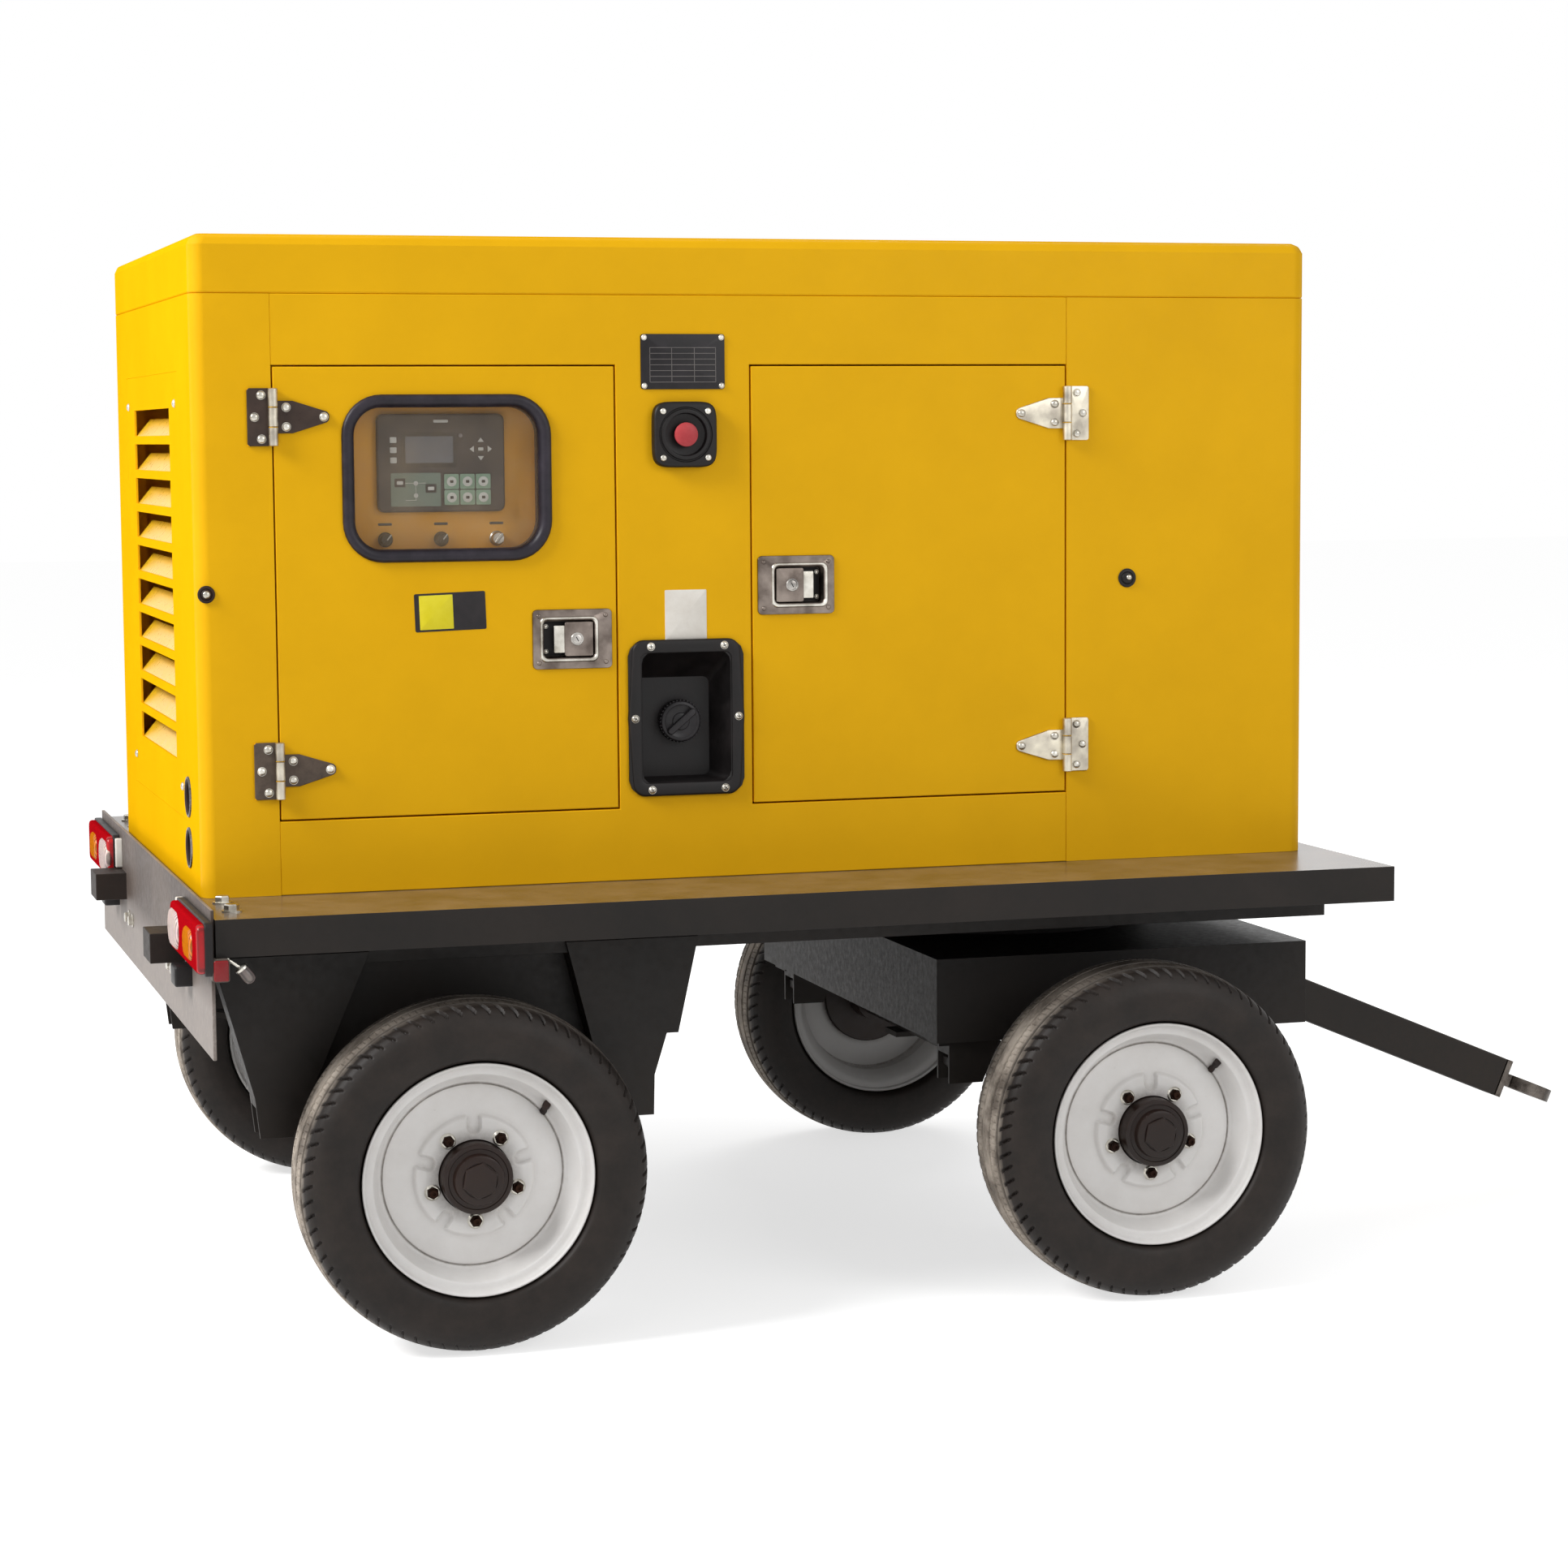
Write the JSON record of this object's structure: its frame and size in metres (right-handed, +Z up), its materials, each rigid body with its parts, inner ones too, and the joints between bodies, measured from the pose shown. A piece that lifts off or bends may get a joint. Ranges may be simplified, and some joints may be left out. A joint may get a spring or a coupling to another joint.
{
  "type": "towable diesel generator",
  "caption": "Silenced diesel generator under a lift-off canopy with hinged service doors and a control window, on a four-wheel turntable trailer with a steering drawbar.",
  "frame": {"origin": "on the ground, at the middle of the whole outline's length and width", "axes": "+X towards the tow eye, +Y towards the trailer's left side, +Z up"},
  "size_m": [2.9688, 1.754, 1.8826],
  "materials": {
    "deck_frame": "semi-gloss enamel",
    "tail_board": "worn grey enamel",
    "tail_lamp_right": "moulded lens",
    "tail_lamp_left": "moulded lens",
    "rear_axle": "semi-gloss enamel",
    "turntable_ring": "plain, slightly rusted",
    "rear_end_shell": "powder coat, semi-gloss",
    "front_end_shell": "powder coat, semi-gloss",
    "louvre_panel": "powder coat, semi-gloss",
    "outlet_grille": "powder coat, semi-gloss",
    "side_frame_right": "powder coat, semi-gloss",
    "side_frame_left": "powder coat, semi-gloss",
    "roof": "powder coat, semi-gloss",
    "nameplate": "fine texture",
    "estop_box": "fine texture",
    "filler_recess": "fine texture",
    "control_box": "semi-gloss",
    "controller": "fine texture",
    "base_tank": "semi-gloss enamel",
    "engine": "enamel",
    "alternator": "painted casting",
    "radiator": "finned core",
    "muffler": "plain, slightly rusted",
    "battery": "fine texture",
    "bogie_frame": "semi-gloss enamel",
    "front_axle": "semi-gloss enamel",
    "drawbar": "semi-gloss enamel",
    "tow_eye": "plain, slightly rusted",
    "rear_right_tyre": "matt, dusty",
    "rear_right_rim": "white enamel",
    "rear_right_hub": "semi-gloss enamel",
    "rear_left_tyre": "matt, dusty",
    "rear_left_rim": "white enamel",
    "rear_left_hub": "semi-gloss enamel",
    "front_right_tyre": "matt, dusty",
    "front_right_rim": "white enamel",
    "front_right_hub": "semi-gloss enamel",
    "front_left_tyre": "matt, dusty",
    "front_left_rim": "white enamel",
    "front_left_hub": "semi-gloss enamel",
    "right_rear_door": "powder coat, semi-gloss",
    "right_rear_latch": "brushed",
    "window_gasket": "matt",
    "window_pane": "clear",
    "right_rear_paddle": "brushed",
    "right_front_door": "powder coat, semi-gloss",
    "right_front_latch": "brushed",
    "right_front_paddle": "brushed",
    "left_rear_door": "powder coat, semi-gloss",
    "left_rear_latch": "brushed",
    "left_rear_paddle": "brushed",
    "left_front_door": "powder coat, semi-gloss",
    "left_front_latch": "brushed",
    "left_front_paddle": "brushed",
    "fuel_cap": "fine texture",
    "estop_button": "smooth",
    "knob_1": "fine texture",
    "knob_2": "fine texture",
    "knob_3": "fine texture",
    "fan": "fine texture"
  },
  "bodies": {
    "chassis": {"deck_frame": "deck_frame", "tail_board": "tail_board", "tail_lamp_right": "tail_lamp_right", "tail_lamp_left": "tail_lamp_left", "rear_axle": "rear_axle", "turntable_ring": "turntable_ring", "rear_end_shell": "rear_end_shell", "front_end_shell": "front_end_shell", "louvre_panel": "louvre_panel", "outlet_grille": "outlet_grille", "side_frame_right": "side_frame_right", "side_frame_left": "side_frame_left", "roof": "roof", "nameplate": "nameplate", "estop_box": "estop_box", "filler_recess": "filler_recess", "control_box": "control_box", "controller": "controller", "base_tank": "base_tank", "engine": "engine", "alternator": "alternator", "radiator": "radiator", "muffler": "muffler", "battery": "battery"},
    "bogie": {"bogie_frame": "bogie_frame", "front_axle": "front_axle"},
    "tow_bar": {"drawbar": "drawbar", "tow_eye": "tow_eye"},
    "rear_right_wheel": {"rear_right_tyre": "rear_right_tyre", "rear_right_rim": "rear_right_rim", "rear_right_hub": "rear_right_hub"},
    "rear_left_wheel": {"rear_left_tyre": "rear_left_tyre", "rear_left_rim": "rear_left_rim", "rear_left_hub": "rear_left_hub"},
    "front_right_wheel": {"front_right_tyre": "front_right_tyre", "front_right_rim": "front_right_rim", "front_right_hub": "front_right_hub"},
    "front_left_wheel": {"front_left_tyre": "front_left_tyre", "front_left_rim": "front_left_rim", "front_left_hub": "front_left_hub"},
    "right_rear_leaf": {"right_rear_door": "right_rear_door", "right_rear_latch": "right_rear_latch", "window_gasket": "window_gasket", "window_pane": "window_pane"},
    "right_rear_handle": {"right_rear_paddle": "right_rear_paddle"},
    "right_front_leaf": {"right_front_door": "right_front_door", "right_front_latch": "right_front_latch"},
    "right_front_handle": {"right_front_paddle": "right_front_paddle"},
    "left_rear_leaf": {"left_rear_door": "left_rear_door", "left_rear_latch": "left_rear_latch"},
    "left_rear_handle": {"left_rear_paddle": "left_rear_paddle"},
    "left_front_leaf": {"left_front_door": "left_front_door", "left_front_latch": "left_front_latch"},
    "left_front_handle": {"left_front_paddle": "left_front_paddle"},
    "fuel_cap": {"fuel_cap": "fuel_cap"},
    "estop_button": {"estop_button": "estop_button"},
    "knob_1": {"knob_1": "knob_1"},
    "knob_2": {"knob_2": "knob_2"},
    "knob_3": {"knob_3": "knob_3"},
    "fan": {"fan": "fan"}
  },
  "joints": [
    {"name": "steering", "type": "hinge", "parent": "chassis", "child": "bogie", "pos_m": [0.23792, 0, 0.585], "axis": [0, 0, 1], "range_deg": [-45, 45]},
    {"name": "drawbar_tilt", "type": "hinge", "parent": "bogie", "child": "tow_bar", "pos_m": [0.69492, 0, 0.47], "axis": [0, -1, 0], "range_deg": [0, 45]},
    {"name": "rear_right_wheel_spin", "type": "hinge", "parent": "chassis", "child": "rear_right_wheel", "pos_m": [-0.98908, -0.7845, 0.3], "axis": [0, 1, 0], "continuous": true},
    {"name": "rear_left_wheel_spin", "type": "hinge", "parent": "chassis", "child": "rear_left_wheel", "pos_m": [-0.98908, 0.7845, 0.3], "axis": [0, 1, 0], "continuous": true},
    {"name": "front_right_wheel_spin", "type": "hinge", "parent": "bogie", "child": "front_right_wheel", "pos_m": [0.23792, -0.7845, 0.3], "axis": [0, 1, 0], "continuous": true},
    {"name": "front_left_wheel_spin", "type": "hinge", "parent": "bogie", "child": "front_left_wheel", "pos_m": [0.23792, 0.7845, 0.3], "axis": [0, 1, 0], "continuous": true},
    {"name": "right_rear_door_open", "type": "hinge", "parent": "chassis", "child": "right_rear_leaf", "pos_m": [-1.26558, -0.5785, 1.2733], "axis": [0, 0, -1], "range_deg": [0, 110]},
    {"name": "right_rear_latch_pull", "type": "hinge", "parent": "right_rear_leaf", "child": "right_rear_handle", "pos_m": [-0.71458, -0.5718, 1.1863], "axis": [0, 0, 1], "range_deg": [0, 38]},
    {"name": "right_front_door_open", "type": "hinge", "parent": "chassis", "child": "right_front_leaf", "pos_m": [0.17342, -0.5785, 1.2733], "axis": [0, 0, 1], "range_deg": [0, 110]},
    {"name": "right_front_latch_pull", "type": "hinge", "parent": "right_front_leaf", "child": "right_front_handle", "pos_m": [-0.37458, -0.5718, 1.2733], "axis": [0, 0, -1], "range_deg": [0, 38]},
    {"name": "left_rear_door_open", "type": "hinge", "parent": "chassis", "child": "left_rear_leaf", "pos_m": [-1.26558, 0.5785, 1.2733], "axis": [0, 0, 1], "range_deg": [0, 110]},
    {"name": "left_rear_latch_pull", "type": "hinge", "parent": "left_rear_leaf", "child": "left_rear_handle", "pos_m": [-0.71458, 0.5718, 1.1863], "axis": [0, 0, -1], "range_deg": [0, 38]},
    {"name": "left_front_door_open", "type": "hinge", "parent": "chassis", "child": "left_front_leaf", "pos_m": [0.17342, 0.5785, 1.2733], "axis": [0, 0, -1], "range_deg": [0, 110]},
    {"name": "left_front_latch_pull", "type": "hinge", "parent": "left_front_leaf", "child": "left_front_handle", "pos_m": [-0.37458, 0.5718, 1.2733], "axis": [0, 0, 1], "range_deg": [0, 38]},
    {"name": "fuel_cap_turn", "type": "hinge", "parent": "chassis", "child": "fuel_cap", "pos_m": [-0.54458, -0.515, 1.0333], "axis": [0, -1, 0], "range_deg": [0, 90]},
    {"name": "estop_push", "type": "slide", "parent": "chassis", "child": "estop_button", "axis": [0, 1, 0], "range_m": [0, 0.006]},
    {"name": "knob_1_turn", "type": "hinge", "parent": "chassis", "child": "knob_1", "pos_m": [-1.06408, -0.505, 1.3623], "axis": [0, -1, 0], "range_deg": [-60, 60]},
    {"name": "knob_2_turn", "type": "hinge", "parent": "chassis", "child": "knob_2", "pos_m": [-0.96558, -0.505, 1.3623], "axis": [0, -1, 0], "range_deg": [-60, 60]},
    {"name": "knob_3_turn", "type": "hinge", "parent": "chassis", "child": "knob_3", "pos_m": [-0.86708, -0.505, 1.3623], "axis": [0, -1, 0], "range_deg": [-60, 60]},
    {"name": "fan_spin", "type": "hinge", "parent": "chassis", "child": "fan", "pos_m": [0.22792, 0, 1.1873], "axis": [1, 0, 0], "continuous": true}
  ]
}
